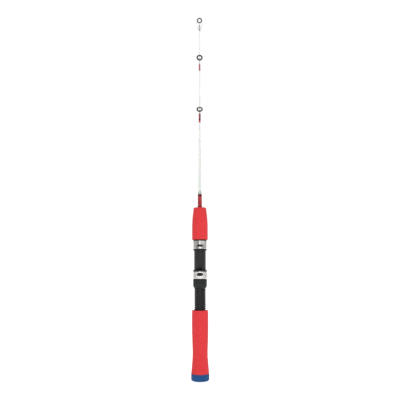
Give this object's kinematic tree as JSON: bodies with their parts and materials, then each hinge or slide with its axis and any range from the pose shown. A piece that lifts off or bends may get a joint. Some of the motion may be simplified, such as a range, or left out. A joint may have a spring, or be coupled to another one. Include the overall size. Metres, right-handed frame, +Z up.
{
  "type": "ice fishing rod",
  "caption": "Short ice fishing rod with a waisted foam handle, a screw-locking pipe reel seat, a tapered white blank, two single-foot line guides and a tip-top.",
  "frame": {"origin": "centre of the butt cap's underside", "axes": "+Z up the rod from the butt to the tip; the guides and the reel side of the seat face -Y; +X to the right seen from the guides' side"},
  "size_m": [0.0282, 0.0282, 0.599],
  "materials": {
    "blank": "satin white glass fibre with a faint green tint",
    "butt_cap": "matt blue moulded cap",
    "grip_foam": "fine closed-cell red foam",
    "seat_plastic": "satin black moulded plastic",
    "nut_plastic": "satin black moulded plastic with flutes",
    "liner_plastic": "satin black moulded plastic",
    "hood_steel": "polished and lightly brushed stainless steel",
    "trim": "black rubbery plastic",
    "arbor_foam": "rigid tan foam",
    "red_thread": "crimson winding thread under clear epoxy",
    "dark_thread": "dark winding thread under clear epoxy",
    "ring_ceramic": "polished dark ceramic",
    "guide_steel": "bright stainless wire"
  },
  "bodies": {
    "rod": {"blank": "blank", "butt_cap": "butt_cap", "rear_grip": "grip_foam", "reel_seat_pipe": "seat_plastic", "rear_arbor": "arbor_foam", "middle_arbor": "arbor_foam", "front_arbor": "arbor_foam", "fixed_hood": "hood_steel", "fixed_hood_liner": "liner_plastic", "trim_ring": "trim", "front_grip": "grip_foam", "winding_check": "trim", "butt_wrap": "red_thread", "butt_wrap_band": "dark_thread", "lower_guide_ring": "ring_ceramic", "upper_guide_ring": "ring_ceramic", "tip_top_ring": "ring_ceramic", "lower_guide_frame": "guide_steel", "upper_guide_frame": "guide_steel", "lower_guide_tail_wrap": "red_thread", "lower_guide_band": "dark_thread", "lower_guide_wrap": "red_thread", "upper_guide_wrap": "red_thread", "tip_top_tube": "guide_steel", "tip_top_frame": "guide_steel"},
    "sliding_hood_assembly": {"sliding_hood": "hood_steel", "sliding_hood_liner": "liner_plastic"},
    "locking_nut_body": {"locking_nut": "nut_plastic"}
  },
  "joints": [
    {"name": "hood_slide", "type": "slide", "parent": "rod", "child": "sliding_hood_assembly", "axis": [0, 0, 1], "range_m": [-0.034, 0.008]},
    {"name": "nut_spin", "type": "hinge", "parent": "sliding_hood_assembly", "child": "locking_nut_body", "pos_m": [0, 0, 0.148], "axis": [0, 0, 1], "range_deg": [-3826, 901]}
  ],
  "couplings": [
    {"joint": "nut_spin", "follows": "hood_slide", "rad_per_m": 1963.5}
  ]
}
